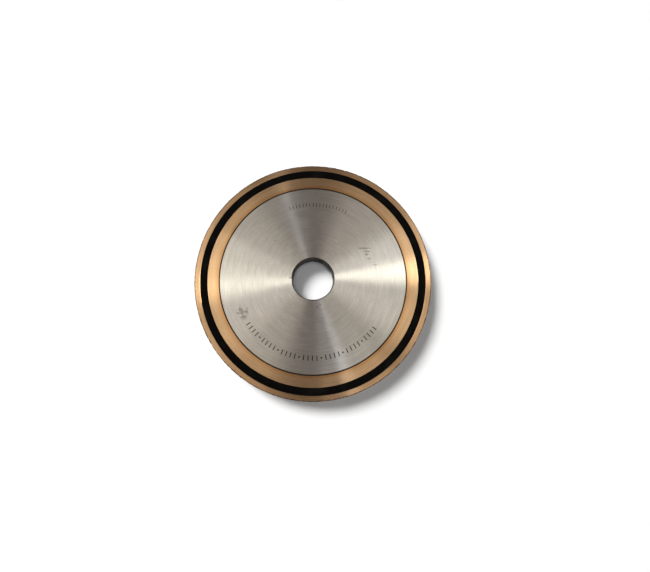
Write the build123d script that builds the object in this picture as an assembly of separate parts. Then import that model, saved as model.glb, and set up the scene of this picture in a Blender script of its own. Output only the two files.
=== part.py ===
"""Diamond grinding wheel: a flat metal-bond wheel, 125 mm across, 12 mm thick, with a 22 mm bore.

The wheel lies flat with its axis along +Z. The origin is on the axis at the back face, and the
front face, which carries the engraved marks, looks along +Z. Every piece is a turned ring around
the same axis, and each one sits on the next face to face.
"""

from build123d import *
import os

# Whole wheel, in millimetres.
WHEEL_DIAMETER = 125.0
THICKNESS = 12.0
BORE_DIAMETER = 22.0

# Radial build, from the bore outwards.
CORE_RADIUS = 49.15
BOND_GAP = 0.45
GROOVE_INNER_RADIUS = 55.6
GROOVE_OUTER_RADIUS = 59.5
SUPPORT_INNER_RADIUS = CORE_RADIUS + BOND_GAP
WHEEL_RADIUS = WHEEL_DIAMETER / 2

# Depths and small edge breaks.
GROOVE_DEPTH = 5.0
BORE_CHAMFER = 0.4
RIM_CHAMFER = 0.2
EDGE_BREAK = 0.1
BOND_RECESS = 0.15
DAMPING_SHOULDER_DROP = 0.2
DAMPING_CROWN_DROP = 0.05

# Engraved marks on the front face: plain ticks and round dots, with no lettering.
MARK_DEPTH = 0.15
FINE_ROW = {"radius": 40.4, "start": 64.0, "end": 108.0, "count": 18, "length": 2.0, "width": 0.3}
BOLD_ROW = {"radius": 40.9, "start": 215.0, "end": 321.0, "count": 34, "length": 2.6, "width": 0.5}
BOLD_GROUP = 5
DOT_RADIUS = 0.45


def ring_section(inner, outer, bottom, top):
    """A rectangle in the plane through the axis, placed by its radii and heights."""
    middle = Pos((inner + outer) / 2, (bottom + top) / 2)
    return middle * Rectangle(outer - inner, top - bottom)


def broken(section, side, size):
    """The section with its inner (side 0) or outer (side -1) corners chamfered."""
    corners = section.vertices().group_by(Axis.X)[side]
    return chamfer(corners, size)


def turn(section):
    """Revolves a section about the wheel's axis."""
    return revolve(Plane.XZ * section, Axis.Z)


def tick(angle, row):
    """One engraved radial stroke, as the solid that it removes."""
    place = Rot(0, 0, angle) * Pos(row["radius"], 0, THICKNESS - MARK_DEPTH / 2)
    return place * Box(row["length"], row["width"], MARK_DEPTH)


def dot(angle, row):
    """One engraved round dot, as the solid that it removes."""
    place = Rot(0, 0, angle) * Pos(row["radius"], 0, THICKNESS - MARK_DEPTH / 2)
    return place * Cylinder(DOT_RADIUS, MARK_DEPTH)


def row_angles(row):
    """The evenly spaced places of one row of marks, in degrees."""
    step = (row["end"] - row["start"]) / (row["count"] - 1)
    return [row["start"] + step * place for place in range(row["count"])]


def engraving():
    """All the marks: a row of fine ticks, and a bolder row where every fifth mark is a dot."""
    marks = [tick(angle, FINE_ROW) for angle in row_angles(FINE_ROW)]
    for place, angle in enumerate(row_angles(BOLD_ROW)):
        is_dot = place % BOLD_GROUP == BOLD_GROUP - 1
        marks.append(dot(angle, BOLD_ROW) if is_dot else tick(angle, BOLD_ROW))
    return marks


def core_disc():
    """The turned steel disc with the chamfered bore and the engraved front face."""
    section = ring_section(BORE_DIAMETER / 2, CORE_RADIUS, 0, THICKNESS)
    section = broken(section, 0, BORE_CHAMFER)
    section = broken(section, -1, EDGE_BREAK)
    return turn(section) - engraving()


def bond_film():
    """The thin film of adhesive between core and bronze, a little below both faces."""
    return turn(ring_section(CORE_RADIUS, SUPPORT_INNER_RADIUS, BOND_RECESS, THICKNESS - BOND_RECESS))


def support_ring():
    """The bronze ring on the core, cut back at its outer front corner to form the groove."""
    groove_floor = THICKNESS - GROOVE_DEPTH
    front = ring_section(SUPPORT_INNER_RADIUS, GROOVE_INNER_RADIUS, 0, THICKNESS)
    back = ring_section(SUPPORT_INNER_RADIUS, GROOVE_OUTER_RADIUS, 0, groove_floor)
    section = broken(front, 0, EDGE_BREAK) + back
    return turn(section)


def damping_ring():
    """The black elastic ring that fills the groove, with a gently crowned top."""
    floor = THICKNESS - GROOVE_DEPTH
    shoulder = THICKNESS - DAMPING_SHOULDER_DROP
    crown = ((GROOVE_INNER_RADIUS + GROOVE_OUTER_RADIUS) / 2, THICKNESS - DAMPING_CROWN_DROP)
    inner_shoulder = (GROOVE_INNER_RADIUS, shoulder)
    outer_shoulder = (GROOVE_OUTER_RADIUS, shoulder)
    sides = Polyline(
        inner_shoulder, (GROOVE_INNER_RADIUS, floor), (GROOVE_OUTER_RADIUS, floor), outer_shoulder
    )
    top = ThreePointArc(outer_shoulder, crown, inner_shoulder)
    return turn(make_face(sides + top))


def diamond_rim():
    """The outer bronze rim that holds the diamond grit, with broken outer edges."""
    section = ring_section(GROOVE_OUTER_RADIUS, WHEEL_RADIUS, 0, THICKNESS)
    return turn(broken(section, -1, RIM_CHAMFER))


PIECES = {
    "core_disc": core_disc,
    "bond_film": bond_film,
    "support_ring": support_ring,
    "damping_ring": damping_ring,
    "diamond_rim": diamond_rim,
}

os.makedirs("parts", exist_ok=True)
for name, make in PIECES.items():
    export_step(make(), f"parts/{name}.step")
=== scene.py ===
"""Looks of the diamond grinding wheel: turned steel core, bronze rings, black elastic ring and grit rim."""

import math

import bmesh
import bpy
import numpy as np
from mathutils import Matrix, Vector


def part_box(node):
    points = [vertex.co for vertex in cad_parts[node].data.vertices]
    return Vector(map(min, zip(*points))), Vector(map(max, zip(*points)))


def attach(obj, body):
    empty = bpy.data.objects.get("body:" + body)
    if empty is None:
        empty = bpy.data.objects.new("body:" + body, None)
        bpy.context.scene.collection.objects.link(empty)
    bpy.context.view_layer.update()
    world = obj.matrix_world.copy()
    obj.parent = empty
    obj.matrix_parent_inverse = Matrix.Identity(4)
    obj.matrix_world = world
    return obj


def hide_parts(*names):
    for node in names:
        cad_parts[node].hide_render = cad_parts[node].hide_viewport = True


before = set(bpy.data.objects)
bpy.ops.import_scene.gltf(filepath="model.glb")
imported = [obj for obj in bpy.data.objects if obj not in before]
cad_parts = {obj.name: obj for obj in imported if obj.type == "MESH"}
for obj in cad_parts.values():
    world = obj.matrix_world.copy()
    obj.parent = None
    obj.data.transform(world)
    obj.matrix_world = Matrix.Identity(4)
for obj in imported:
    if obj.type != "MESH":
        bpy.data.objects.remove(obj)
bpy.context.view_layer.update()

MM = 0.001
BODY = "root"

# Fineness of the turned meshes: steps round the axis, and rows up the grit face.
SEGMENTS = 360
RIM_SEGMENTS = 1800
RIM_ROWS = 34

# Small edge breaks, as in the CAD model, and one on the film of adhesive.
BORE_CHAMFER = 0.4 * MM
RIM_CHAMFER = 0.2 * MM
EDGE_BREAK = 0.1 * MM
FILM_BREAK = 0.03 * MM

# Top of the black ring: how far its middle stands above its edges, and its points from edge to edge.
CROWN_RISE = 0.15 * MM
CROWN_POINTS = 13

# Faces that meet at more than the sharp angle meet in a crisp edge, and a face is level when its unit
# normal points up or down by more than the given share.
SHARP_ANGLE = math.radians(30)
LEVEL_NORMAL = 0.99

# Engraving: the height of the solids that cut it, how near two of their points become one, how exactly
# its floors are told from other faces, and the depths and radii between which the core is dark.
CUTTER_HEIGHT = 0.3 * MM
MERGE_DISTANCE = 0.001 * MM
FLOOR_TOLERANCE = 0.02 * MM
MARK_DEPTHS = (0.03 * MM, 0.2 * MM)
MARK_RADII = (37 * MM, 45 * MM)

# Rim: how far the diamond grains stand out of the worn bond, and how long (in steps round the axis), deep
# and high the chips at its corners are. The higher a rarity, the fewer are tall or deep.
GRAIN_HEIGHT = 0.08 * MM
GRAIN_RARITY = 1.5
GRAIN_SEED = 7
CHIP_STEPS = 4
CHIP_DEPTH = 0.4 * MM
CHIP_SPREAD = 0.6 * MM
CHIP_RARITY = 3

# Lathe finish: its roughness, and the pitches of its fine and coarse tool marks.
METAL_ROUGHNESS = 0.3
FINE_PITCH = 0.45 * MM
COARSE_PITCH = 1.3 * MM

# Dirt on the core's front face: x, y, half length and half width in millimetres, first of a smear and
# then of single specks and strokes.
SMEAR = (-36.8, -17.6, 4.5, 5.0)
DIRT = [
    (27.2, 16.4, 4.6, 0.6),
    (28.8, 14.7, 2.6, 0.6),
    (28.5, 13.1, 1.3, 0.9),
    (29.8, 10.8, 1.6, 0.5),
    (33.0, 7.4, 2.0, 0.4),
    (3.9, -13.4, 0.8, 0.6),
    (2.1, -14.8, 0.55, 0.6),
    (-11.9, 0.45, 1.1, 0.55),
    (-20.0, 20.5, 0.5, 0.5),
    (31.5, -11.0, 0.3, 0.5),
    (-33.0, -21.5, 0.4, 0.4),
]

# Camera: focal length, place in millimetres, turns in degrees, and shift of the framing.
CAMERA_LENS = 22.48
CAMERA_PLACE = (-1.32, -23.27, 225.04)
CAMERA_TURNS = (8.82, -0.34, 0)
CAMERA_SHIFT = (0.018615, -0.039308)
CAMERA_NEAR = 0.01

# Surroundings: half the floor's width, the dome's radius, and how far off the panels are.
FLOOR_REACH = 3.0
DOME_RADIUS = 2.9
PANEL_DISTANCE = 1.0

# The room in the metal: its colour, its strength at the horizon and what the ceiling adds to that, and
# the power of the height by which the ceiling gathers overhead.
ROOM_COLOUR = (1.0, 0.88, 0.79, 1)
ROOM_STRENGTH = 0.01
CEILING_STRENGTH = 0.36
CEILING_POWER = 8.0

# Suns, for floor and shadow: name, azimuth, elevation and spread in degrees, and strength.
SUNS = [
    ("key", 135, 47.5, 22, 4.1),
    ("overhead", 0, 90, 20, 0.78),
]

# Panels, for the metal to mirror: name, azimuth and elevation in degrees, width, height, power, colour.
PANELS = [
    ("window", 10.5, 20, 0.22, 0.35, 7.4, (1.0, 0.98, 0.84)),
    ("high_window", 27, 66, 0.22, 0.35, 0.5, (0.98, 0.96, 0.92)),
    ("high_right", 347, 66, 0.2, 0.35, 0.33, (1.0, 0.95, 0.83)),
    ("high_front_right", 325, 66, 0.3, 0.35, 0.13, (1.0, 0.94, 0.82)),
    ("high_back", 55, 66, 0.3, 0.35, 0.21, (1.0, 0.94, 0.83)),
    ("high_back_left", 138, 66, 0.3, 0.35, 0.36, (1.0, 0.93, 0.79)),
    ("low_left", 156, 20, 0.3, 0.35, 2.7, (1.0, 0.94, 0.82)),
    ("left", 172, 42, 0.3, 0.5, 1.65, (1.0, 0.93, 0.79)),
    ("high_left", 188, 66, 0.3, 0.35, 0.43, (1.0, 0.93, 0.79)),
    ("high_front_left", 222, 66, 0.34, 0.35, 0.45, (1.0, 0.89, 0.74)),
    ("front_right", 304, 42, 0.3, 0.5, 1.0, (1.0, 0.94, 0.82)),
    ("back_strip", 105, 30, 0.06, 0.5, 0.23, (0.95, 0.97, 1.0)),
    ("front_strip", 292.5, 50, 0.06, 0.5, 0.37, (0.97, 0.98, 1.0)),
    ("front_strip_2", 280, 50, 0.05, 0.5, 0.13, (1.0, 0.95, 0.9)),
]


# Measures of the CAD model.


def ring_radii(node):
    """Inner and outer radius of a CAD ring, from its vertices."""
    distances = [math.hypot(v.co.x, v.co.y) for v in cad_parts[node].data.vertices]
    return min(distances), max(distances)


def heights(node):
    """Lowest and highest point of a CAD ring."""
    low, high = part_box(node)
    return low.z, high.z


CORE_INNER, CORE_OUTER = ring_radii("core_disc")
FILM_INNER, FILM_OUTER = ring_radii("bond_film")
DAMPING_INNER, DAMPING_OUTER = ring_radii("damping_ring")
RIM_INNER, RIM_OUTER = ring_radii("diamond_rim")
BOTTOM, TOP = heights("core_disc")
FILM_BOTTOM, FILM_TOP = heights("bond_film")
GROOVE_FLOOR, DAMPING_TOP = heights("damping_ring")


# Meshes.


def link(name, data):
    """An object of the scene that holds the given mesh, lamp or camera."""
    made = bpy.data.objects.new(name, data)
    bpy.context.scene.collection.objects.link(made)
    return made


def lathe(name, profile, segments=SEGMENTS):
    """A closed ring: the outline, (radius, height) points going counter-clockwise, swept round the axis."""
    radius, height = np.array(profile).T
    angle = np.arange(segments) * (2 * math.pi / segments)
    x = np.outer(np.cos(angle), radius)
    y = np.outer(np.sin(angle), radius)
    z = np.tile(height, (segments, 1))
    points = np.stack([x, y, z], axis=-1).reshape(-1, 3)
    count = len(radius)
    here, low = np.meshgrid(np.arange(segments), np.arange(count), indexing="ij")
    there = (here + 1) % segments
    high = (low + 1) % count
    corners = [here * count + low, there * count + low, there * count + high, here * count + high]
    faces = np.stack(corners, axis=-1).reshape(-1, 4)
    mesh = bpy.data.meshes.new(name)
    mesh.from_pydata(points.tolist(), [], faces.tolist())
    smooth(mesh)
    return link(name, mesh)


def smooth(mesh):
    """Smooth shading with crisp turned edges."""
    mesh.shade_smooth()
    mesh.set_sharp_from_angle(angle=SHARP_ANGLE)


def ring_section(inner, outer, bottom, top, inner_break, outer_break):
    """Outline of a ring with broken corners, counter-clockwise from the lower inner corner."""
    return [
        (inner + inner_break, bottom),
        (outer - outer_break, bottom),
        (outer, bottom + outer_break),
        (outer, top - outer_break),
        (outer - outer_break, top),
        (inner + inner_break, top),
        (inner, top - inner_break),
        (inner, bottom + inner_break),
    ]


def settle(piece, node, material):
    """The piece stands for a CAD node, which it hides: it joins the wheel's body, with its material."""
    piece.data.materials.clear()
    piece.data.materials.append(material)
    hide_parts(node)
    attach(piece, BODY)


def engraved_floor(face):
    """Whether a CAD face is the flat bottom of a mark, a little below the front face."""
    depths = [TOP - vertex.co.z for vertex in face.verts]
    flat = max(depths) - min(depths) < FLOOR_TOLERANCE
    return flat and FLOOR_TOLERANCE < min(depths) < BORE_CHAMFER - FLOOR_TOLERANCE


def mark_cutters():
    """Solids standing on the floors of the CAD core's engraved marks and passing through the face."""
    mesh = bmesh.new()
    mesh.from_mesh(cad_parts["core_disc"].data)
    bmesh.ops.remove_doubles(mesh, verts=mesh.verts, dist=MERGE_DISTANCE)
    others = [face for face in mesh.faces if not engraved_floor(face)]
    bmesh.ops.delete(mesh, geom=others, context="FACES")
    raised = bmesh.ops.extrude_face_region(mesh, geom=mesh.faces[:], use_keep_orig=True)["geom"]
    lids = [part for part in raised if isinstance(part, bmesh.types.BMVert)]
    bmesh.ops.translate(mesh, verts=lids, vec=(0, 0, CUTTER_HEIGHT))
    bmesh.ops.recalc_face_normals(mesh, faces=mesh.faces)
    cutters = bpy.data.meshes.new("marks")
    mesh.to_mesh(cutters)
    mesh.free()
    return link("marks", cutters)


def cut(piece, cutters):
    """Cuts the marks out of the piece, and leaves one plain mesh with flat level faces."""
    step = piece.modifiers.new("engraving", "BOOLEAN")
    step.operation = "DIFFERENCE"
    step.solver = "EXACT"
    step.object = cutters
    shape = piece.evaluated_get(bpy.context.evaluated_depsgraph_get())
    mesh = bpy.data.meshes.new_from_object(shape)
    piece.modifiers.clear()
    piece.data = mesh
    bpy.data.objects.remove(cutters)
    smooth(mesh)
    for face in mesh.polygons:
        face.use_smooth = abs(face.normal.z) < LEVEL_NORMAL


def roughen(rim, wall):
    """Wears the rim's bond back between diamond grains that stand proud, and chips its two outer corners.

    The wall is the slice of the outline's points that lie on the working face.
    """
    points = np.empty(len(rim.data.vertices) * 3)
    rim.data.vertices.foreach_get("co", points)
    points = points.reshape(RIM_SEGMENTS, -1, 3)
    face = points[:, wall]

    random = np.random.default_rng(GRAIN_SEED)
    speckle = random.random(face.shape[:2]) ** GRAIN_RARITY
    grains = 0.5 * (speckle + np.roll(speckle, 1, axis=0))
    depth = GRAIN_HEIGHT * (1 - grains / grains.max())
    for corner in (BOTTOM, TOP):
        chips = np.repeat(random.random(RIM_SEGMENTS // CHIP_STEPS) ** CHIP_RARITY, CHIP_STEPS)
        near = np.exp(-np.abs(face[:, :, 2] - corner) / CHIP_SPREAD)
        depth = depth + CHIP_DEPTH * chips[:, None] * near
    face[:, :, :2] *= (1 - depth / RIM_OUTER)[:, :, None]
    rim.data.vertices.foreach_set("co", points.reshape(-1))
    rim.data.update()


# Building materials from nodes.


class Nodes:
    """A node tree that is built one call at a time."""

    def __init__(self, tree):
        self.tree = tree

    def put(self, socket, value):
        """Sets a socket to a value, or links another node's output to it."""
        if isinstance(value, bpy.types.NodeSocket):
            self.tree.links.new(value, socket)
        else:
            socket.default_value = value

    def add(self, kind, inputs, **settings):
        """Adds a node. Inputs go by place or name; each is a value or another node's output."""
        made = self.tree.nodes.new(kind)
        for name, value in settings.items():
            setattr(made, name, value)
        pairs = inputs.items() if isinstance(inputs, dict) else enumerate(inputs)
        for key, value in pairs:
            self.put(made.inputs[key], value)
        return made

    def node(self, kind, inputs, output=0, **settings):
        """Adds a node and gives one of its outputs."""
        return self.add(kind, inputs, **settings).outputs[output]

    def math(self, operation, *values):
        return self.node("ShaderNodeMath", values, operation=operation)

    def vector(self, operation, *values, output=0):
        return self.node("ShaderNodeVectorMath", values, output, operation=operation)

    def scaled(self, vector, factor):
        return self.node("ShaderNodeVectorMath", {0: vector, "Scale": factor}, operation="SCALE")

    def remap(self, value, low, high, to_low, to_high, smoothly=False):
        """Takes low to to_low and high to to_high, and stays between the two."""
        kind = "SMOOTHSTEP" if smoothly else "LINEAR"
        inputs = [value, low, high, to_low, to_high]
        return self.node("ShaderNodeMapRange", inputs, interpolation_type=kind)

    def mix(self, factor, first, second):
        return self.node("ShaderNodeMix", {0: factor, 6: first, 7: second}, 2, data_type="RGBA")

    def product(self, *values):
        total = values[0]
        for value in values[1:]:
            total = self.math("MULTIPLY", total, value)
        return total


class Shader(Nodes):
    """A material for a piece that is turned about the z axis."""

    def __init__(self, name):
        self.material = bpy.data.materials.new(name)
        self.material.use_nodes = True
        super().__init__(self.material.node_tree)
        self.surface = self.tree.nodes["Principled BSDF"]
        self.place = self.node("ShaderNodeTexCoord", [], "Object")
        flat = self.vector("MULTIPLY", self.place, (1, 1, 0))
        self.radius = self.vector("LENGTH", flat, output="Value")
        self.direction = self.vector("NORMALIZE", flat)
        self.height = self.node("ShaderNodeSeparateXYZ", [self.place], "Z")

    def set(self, **inputs):
        """Sets sockets of the surface by name, with an underscore for each space."""
        for name, value in inputs.items():
            self.put(self.surface.inputs[name.replace("_", " ")], value)

    def noise(self, vector, detail=2.0):
        return self.node("ShaderNodeTexNoise", {"Vector": vector, "Scale": 1.0, "Detail": detail})

    def clouds(self, size, detail=3.0):
        """Soft blotches of about one size, from 0 to 1."""
        return self.noise(self.scaled(self.place, 1 / size), detail)

    def rings(self, pitch, arcs):
        """Tool marks: they change once a pitch outwards, and more slowly along each line, by its arcs."""
        outwards = self.math("DIVIDE", self.math("ADD", self.radius, self.height), pitch)
        line = self.node("ShaderNodeCombineXYZ", {"Z": outwards})
        return self.noise(self.vector("ADD", self.scaled(self.direction, arcs), line))

    def beyond(self, value, edge, softness):
        """0 below the edge and 1 above it."""
        return self.remap(value, edge - softness, edge + softness, 0.0, 1.0, smoothly=True)

    def below(self, value, edge, softness):
        """1 below the edge and 0 above it."""
        return self.math("SUBTRACT", 1.0, self.beyond(value, edge, softness))

    def band(self, value, low, high, softness):
        """1 between the two edges."""
        return self.math("MULTIPLY", self.beyond(value, low, softness), self.below(value, high, softness))

    def around(self, value, spread):
        """Turns a 0 to 1 pattern into a factor around 1."""
        return self.remap(value, 0.25, 0.75, 1 - spread, 1 + spread)

    def specks(self, size, share):
        """Small dots, a quarter of a cell in radius: 1 in a share of the cells of the given size."""
        inputs = {"Vector": self.scaled(self.place, 1 / size), "Scale": 1.0}
        cells = self.add("ShaderNodeTexVoronoi", inputs)
        lottery = self.node("ShaderNodeSeparateColor", [cells.outputs["Color"]])
        near = self.remap(cells.outputs["Distance"], 0.2, 0.3, 1.0, 0.0, smoothly=True)
        return self.math("MULTIPLY", self.math("LESS_THAN", lottery, share), near)

    def spot(self, x, y, length, width):
        """A soft oval at one place on the face, with half its length and half its width, in millimetres."""
        offset = self.vector("SUBTRACT", self.place, (x * MM, y * MM, 0))
        shape = (1 / (length * MM), 1 / (width * MM), 0)
        away = self.vector("LENGTH", self.vector("MULTIPLY", offset, shape), output="Value")
        return self.remap(away, 0.4, 1.0, 1.0, 0.0, smoothly=True)

    def turned(self, colour, roughness, relief):
        """Makes the surface lathe-turned metal, with its tool marks in tone, roughness and relief."""
        fine = self.rings(FINE_PITCH, 3.0)
        coarse = self.rings(COARSE_PITCH, 4.0)
        lines = self.math("ADD", self.math("MULTIPLY", fine, 0.5), self.math("MULTIPLY", coarse, 0.5))
        grain = self.around(self.clouds(0.6 * MM), 0.09)
        blotches = self.around(self.clouds(4 * MM), 0.04)
        tone = self.product(self.around(fine, 0.12), self.around(coarse, 0.05), grain, blotches)
        rough = self.product(self.around(self.clouds(9 * MM), 0.04), self.around(lines, 0.04), roughness)
        bump = self.node("ShaderNodeBump", {"Strength": 1.0, "Distance": relief, "Height": lines})
        self.set(Base_Color=self.scaled(colour, tone), Roughness=rough, Metallic=1.0, Normal=bump)
        # The tangent runs round the axis, and a quarter turn stretches the shine across the tool marks.
        tangent = self.node("ShaderNodeTangent", [], direction_type="RADIAL", axis="Z")
        self.set(Anisotropic=1.0, Anisotropic_Rotation=0.25, Tangent=tangent)


# Materials.


def dirt(shader):
    """Where the core's face is dirty: a blotchy smear, and single specks and strokes."""
    blotches = shader.beyond(shader.clouds(2.2 * MM, 2.0), 0.52, 0.06)
    stained = shader.math("MULTIPLY", shader.spot(*SMEAR), blotches)
    for place in DIRT:
        stained = shader.math("MAXIMUM", stained, shader.spot(*place))
    patchy = shader.remap(shader.clouds(0.7 * MM), 0.35, 0.6, 0.35, 0.8)
    return shader.math("MULTIPLY", stained, patchy)


def engraving(shader):
    """Where the core lies inside its engraved marks."""
    shallow, deep = MARK_DEPTHS
    sunk = shader.band(shader.height, TOP - deep, TOP - shallow, 0.01 * MM)
    rows = shader.band(shader.radius, *MARK_RADII, MM)
    return shader.math("MULTIPLY", sunk, rows)


def turned_steel():
    """The core: pale turned steel with a little dirt, dark in the marks and the joint, with painted shade
    on the bore's wall.
    """
    shader = Shader("turned_steel")
    steel = (0.6, 0.59, 0.57, 1)
    stain = (0.2, 0.185, 0.16, 1)
    etched = (0.05, 0.045, 0.045, 1)
    # Painted shade for the bore's wall, brown at its mouth and black deeper in; the joint at the core's rim
    # takes the same colours as grime.
    bore_shade_and_joint_grime = (0.045, 0.028, 0.02, 1)
    black = (0.006, 0.005, 0.005, 1)
    bore = shader.below(shader.radius, CORE_INNER + BORE_CHAMFER, 0.05 * MM)
    joint = shader.beyond(shader.radius, CORE_OUTER - 1.5 * EDGE_BREAK, 0.05 * MM)
    mouth = shader.beyond(shader.height, TOP - 5 * MM, 3 * MM)
    colour = shader.mix(dirt(shader), steel, stain)
    colour = shader.mix(engraving(shader), colour, etched)
    # Painted shade on the bore's wall, and dark grime at the joint.
    colour = shader.mix(shader.math("MAXIMUM", bore, joint), colour, shader.mix(mouth, black, bore_shade_and_joint_grime))
    shader.turned(colour, METAL_ROUGHNESS, 0.0003 * MM)
    return shader.material


def turned_bronze():
    """The support ring: turned bronze with a painted reflection, deeper orange, beside the joint, and dark
    in the joint.
    """
    shader = Shader("turned_bronze")
    bronze = (0.68, 0.455, 0.265, 1)
    painted_reflection_orange = (0.62, 0.33, 0.14, 1)
    grime = (0.1, 0.06, 0.04, 1)
    # Painted reflection: a deeper orange, blotchy strip beside the joint, the same all round.
    near, far = FILM_OUTER + 0.4 * MM, FILM_OUTER + 2.2 * MM
    inwards = shader.remap(shader.radius, near, far, 1.0, 0.0, smoothly=True)
    patchy = shader.remap(shader.clouds(4 * MM), 0.3, 0.6, 0.5, 1.0)
    joint = shader.below(shader.radius, FILM_OUTER + 1.5 * EDGE_BREAK, 0.05 * MM)
    colour = shader.mix(shader.math("MULTIPLY", inwards, patchy), bronze, painted_reflection_orange)
    shader.turned(shader.mix(joint, colour, grime), METAL_ROUGHNESS, 0.0003 * MM)
    return shader.material


def shaded_corners(shader):
    """Where shade is painted along the rim's two outer corners, in a band with a ragged border."""
    middle = (BOTTOM + TOP) / 2
    off_centre = shader.math("ABSOLUTE", shader.math("SUBTRACT", shader.height, middle))
    ragged = shader.remap(shader.clouds(0.9 * MM), 0.3, 0.7, -0.2 * MM, 0.2 * MM)
    near_edge = shader.beyond(shader.math("ADD", shader.radius, ragged), RIM_OUTER - 0.5 * MM, 0.05 * MM)
    near_face = shader.beyond(off_centre, middle - 2 * RIM_CHAMFER, 0.1 * MM)
    return shader.math("MULTIPLY", near_edge, near_face)


def grit_bronze():
    """The rim: turned bronze bond, which is matt and speckled with diamond on its working face."""
    shader = Shader("grit_bronze")
    bond = (0.6, 0.385, 0.22, 1)
    face = (0.4, 0.29, 0.2, 1)
    diamond = (0.5, 0.5, 0.42, 1)
    speck_dark = (0.07, 0.05, 0.038, 1)
    # Painted shade: a dark ragged band along the rim's two outer corners.
    corner_shade = (0.1, 0.055, 0.03, 1)
    outside = shader.beyond(shader.radius, RIM_OUTER - 1.5 * RIM_CHAMFER, 0.1 * MM)
    grains = shader.math("MULTIPLY", outside, shader.specks(0.7 * MM, 0.35))
    dark_specks = shader.math("MULTIPLY", shader.specks(0.5 * MM, 0.15), 0.5)
    colour = shader.mix(outside, bond, face)
    colour = shader.mix(grains, colour, diamond)
    colour = shader.mix(dark_specks, colour, speck_dark)
    # Painted shade along the outer corners.
    colour = shader.mix(shaded_corners(shader), colour, corner_shade)
    roughness = shader.remap(outside, 0.0, 1.0, METAL_ROUGHNESS, 2 * METAL_ROUGHNESS)
    shader.turned(colour, roughness, 0.0005 * MM)
    shader.set(Metallic=shader.remap(outside, 0.0, 1.0, 1.0, 0.3))
    return shader.material


def black_rubber():
    """The damping ring: dull black elastomer with a little dust."""
    shader = Shader("black_rubber")
    rubber = (0.0012, 0.0011, 0.001, 1)
    dust = (0.008, 0.007, 0.0055, 1)
    dusty = shader.remap(shader.clouds(6 * MM, 5.0), 0.5, 0.75, 0.0, 0.5)
    grain = shader.clouds(0.3 * MM)
    bump = shader.node("ShaderNodeBump", {"Strength": 0.6, "Distance": 0.02 * MM, "Height": grain})
    shader.set(Base_Color=shader.mix(dusty, rubber, dust), Specular_IOR_Level=0.05)
    shader.set(Roughness=shader.remap(grain, 0.3, 0.7, 0.7, 0.85), Normal=bump)
    return shader.material


def cured_adhesive():
    """The thin film in the joint: dark brown, grimy."""
    shader = Shader("cured_adhesive")
    grime = shader.clouds(0.8 * MM)
    shader.set(Base_Color=shader.mix(grime, (0.008, 0.006, 0.005, 1), (0.03, 0.02, 0.014, 1)))
    shader.set(Roughness=shader.remap(grime, 0.3, 0.7, 0.55, 0.75), Specular_IOR_Level=0.2)
    return shader.material


def plain_matt(name, colour, glow):
    """One flat colour and a white glow, for what isn't part of the wheel."""
    shader = Shader(name)
    shader.set(Base_Color=colour, Roughness=0.9)
    shader.set(Emission_Color=(1, 1, 1, 1), Emission_Strength=glow)
    return shader.material


# Pieces.


def turned_core():
    """The steel disc with the chamfered bore and the engraved marks."""
    profile = ring_section(CORE_INNER, CORE_OUTER, BOTTOM, TOP, BORE_CHAMFER, EDGE_BREAK)
    piece = lathe("turned_core", profile)
    cut(piece, mark_cutters())
    settle(piece, "core_disc", turned_steel())


def adhesive_line():
    """The film between core and support ring."""
    profile = ring_section(FILM_INNER, FILM_OUTER, FILM_BOTTOM, FILM_TOP, FILM_BREAK, FILM_BREAK)
    settle(lathe("adhesive_line", profile), "bond_film", cured_adhesive())


def bronze_ring():
    """The support ring, with the groove cut out of its outer front corner."""
    profile = [
        (FILM_OUTER + EDGE_BREAK, BOTTOM),
        (DAMPING_OUTER, BOTTOM),
        (DAMPING_OUTER, GROOVE_FLOOR),
        (DAMPING_INNER, GROOVE_FLOOR),
        (DAMPING_INNER, TOP - EDGE_BREAK),
        (DAMPING_INNER - EDGE_BREAK, TOP),
        (FILM_OUTER + EDGE_BREAK, TOP),
        (FILM_OUTER, TOP - EDGE_BREAK),
        (FILM_OUTER, BOTTOM + EDGE_BREAK),
    ]
    settle(lathe("bronze_ring", profile), "support_ring", turned_bronze())


def black_ring():
    """The elastic ring that fills the groove, gently crowned."""
    middle = (DAMPING_INNER + DAMPING_OUTER) / 2
    half = (DAMPING_OUTER - DAMPING_INNER) / 2
    turns = np.linspace(0, math.pi, CROWN_POINTS)
    crown = [(middle + half * math.cos(t), DAMPING_TOP - CROWN_RISE * (1 - math.sin(t))) for t in turns]
    profile = [(DAMPING_INNER, GROOVE_FLOOR), (DAMPING_OUTER, GROOVE_FLOOR), *crown]
    settle(lathe("black_ring", profile), "damping_ring", black_rubber())


def grit_rim():
    """The diamond rim, whose outer face has rows of points for the grains."""
    section = ring_section(RIM_INNER, RIM_OUTER, BOTTOM, TOP, EDGE_BREAK, RIM_CHAMFER)
    before, (_, low), (_, high), after = section[:2], section[2], section[3], section[4:]
    wall = [(RIM_OUTER, height) for height in np.linspace(low, high, RIM_ROWS + 1)]
    piece = lathe("grit_rim", before + wall + after, RIM_SEGMENTS)
    roughen(piece, slice(len(before), len(before + wall)))
    settle(piece, "diamond_rim", grit_bronze())


# Studio.


def floor():
    """A wide pale floor."""
    reach = FLOOR_REACH
    corners = [(-reach, -reach, 0), (reach, -reach, 0), (reach, reach, 0), (-reach, reach, 0)]
    mesh = bpy.data.meshes.new("floor")
    mesh.from_pydata(corners, [], [(0, 1, 2, 3)])
    mesh.materials.append(plain_matt("pale_floor", (0.85, 0.85, 0.85, 1), 0.0))
    link("floor", mesh)


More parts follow.
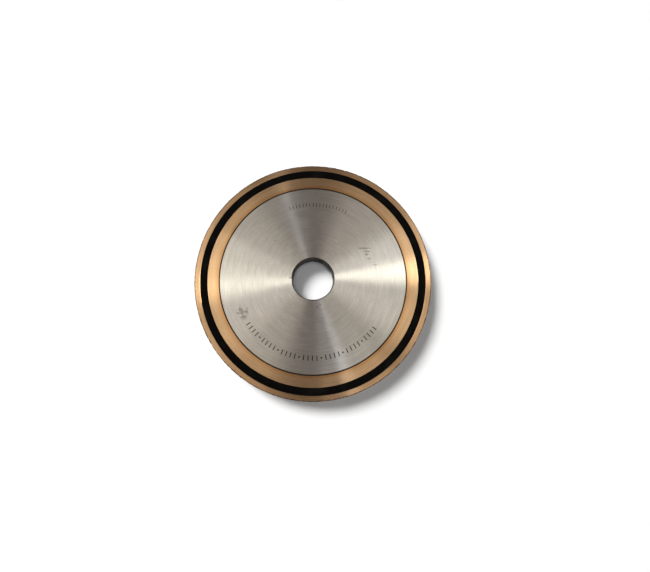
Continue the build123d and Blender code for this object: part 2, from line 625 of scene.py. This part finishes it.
def backdrop():
    """A glowing dome that only the camera sees, so that low views end in the floor's own white."""
    shape = bmesh.new()
    bmesh.ops.create_uvsphere(shape, u_segments=48, v_segments=24, radius=DOME_RADIUS)
    mesh = bpy.data.meshes.new("backdrop")
    shape.to_mesh(mesh)
    shape.free()
    mesh.materials.append(plain_matt("pale_backdrop", (0, 0, 0, 1), 1.0))
    dome = link("backdrop", mesh)
    dome.visible_diffuse = False
    dome.visible_glossy = False
    dome.visible_transmission = False
    dome.visible_shadow = False


def aim(lamp, azimuth, elevation):
    """Turns a lamp to shine at the wheel from azimuth, counted from +X towards +Y."""
    lamp.rotation_euler = (math.radians(90 - elevation), 0, math.radians(azimuth + 90))


def sun(name, azimuth, elevation, spread, strength):
    """A distant lamp for floor and shadow; the metal doesn't mirror it."""
    light = bpy.data.lights.new(name, "SUN")
    light.energy = strength
    light.angle = math.radians(spread)
    lamp = link(name, light)
    aim(lamp, azimuth, elevation)
    lamp.visible_glossy = False


def panel(name, azimuth, elevation, width, height, power, colour):
    """A glowing rectangle that looks at the wheel; only the metal mirrors it."""
    light = bpy.data.lights.new(name, "AREA")
    light.shape = "RECTANGLE"
    light.size = width
    light.size_y = height
    light.energy = power
    light.color = colour
    lamp = link(name, light)
    turn = math.radians(azimuth)
    rise = math.radians(elevation)
    away = PANEL_DISTANCE * math.cos(rise)
    lamp.location = (away * math.cos(turn), away * math.sin(turn), PANEL_DISTANCE * math.sin(rise))
    aim(lamp, azimuth, elevation)
    lamp.visible_diffuse = False
    lamp.visible_camera = False


def surroundings():
    """A dim warm room with a brighter ceiling, that only the metal mirrors."""
    world = bpy.data.worlds.new("studio")
    world.use_nodes = True
    nodes = Nodes(world.node_tree)
    direction = nodes.node("ShaderNodeTexCoord", [], "Generated")
    up = nodes.math("MAXIMUM", nodes.node("ShaderNodeSeparateXYZ", [direction], "Z"), 0.0)
    overhead = nodes.math("POWER", up, CEILING_POWER)
    strength = nodes.math("MULTIPLY_ADD", overhead, CEILING_STRENGTH, ROOM_STRENGTH)
    background = world.node_tree.nodes["Background"]
    nodes.put(background.inputs["Color"], ROOM_COLOUR)
    nodes.put(background.inputs["Strength"], strength)
    world.cycles_visibility.diffuse = False
    bpy.context.scene.world = world


def camera():
    """Almost straight down on the wheel, close enough for the perspective to show the bore's far wall."""
    data = bpy.data.cameras.new("camera")
    data.lens = CAMERA_LENS
    data.shift_x, data.shift_y = CAMERA_SHIFT
    data.clip_start = CAMERA_NEAR
    view = link("camera", data)
    view.location = [measure * MM for measure in CAMERA_PLACE]
    view.rotation_euler = [math.radians(turn) for turn in CAMERA_TURNS]
    bpy.context.scene.camera = view


turned_core()
adhesive_line()
bronze_ring()
black_ring()
grit_rim()
floor()
backdrop()
for settings in SUNS:
    sun(*settings)
for settings in PANELS:
    panel(*settings)
surroundings()
camera()
bpy.context.scene.view_settings.view_transform = "Standard"
bpy.context.scene.cycles.caustics_reflective = False
